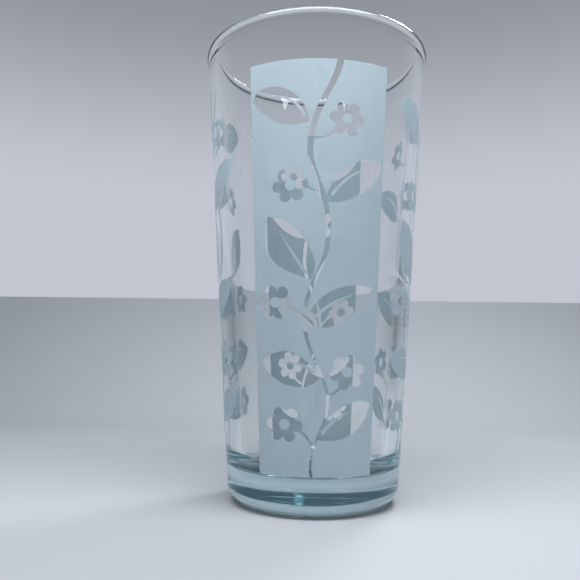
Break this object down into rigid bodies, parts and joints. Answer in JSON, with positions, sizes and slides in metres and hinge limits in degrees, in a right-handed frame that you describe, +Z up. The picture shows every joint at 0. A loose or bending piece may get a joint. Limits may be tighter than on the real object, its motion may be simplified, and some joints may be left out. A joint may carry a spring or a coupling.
{
  "type": "drinking glass",
  "caption": "Tall tapered clear drinking glass with a thick rounded base, a rolled lip and frosted flowering-vine decoration on its wall.",
  "frame": {"origin": "middle of the foot, on the surface that the glass stands on", "axes": "+Z up along the axis of the glass; -Y is the side of the front panel; +X is the side of the right vine"},
  "size_m": [0.0828, 0.0828, 0.164],
  "materials": {
    "clear_glass": "clear soda-lime glass, fire-polished, faintly blue-green where it is thick",
    "panel_frost": "satin frost fired on the outside of the wall, even and matt",
    "vine_frost": "satin frost fired on the outside of the wall, thin at its edges"
  },
  "bodies": {
    "root": {"tumbler_body": "clear_glass", "front_panel_left": "panel_frost", "front_panel_right": "panel_frost", "front_leaf_ribs": "panel_frost", "front_flower_centres": "panel_frost", "back_panel_left": "panel_frost", "back_panel_right": "panel_frost", "back_leaf_ribs": "panel_frost", "back_flower_centres": "panel_frost", "left_vine_stem": "vine_frost", "left_vine_leaves": "vine_frost", "left_vine_flowers": "vine_frost", "right_vine_stem": "vine_frost", "right_vine_leaves": "vine_frost", "right_vine_flowers": "vine_frost"}
  },
  "joints": []
}
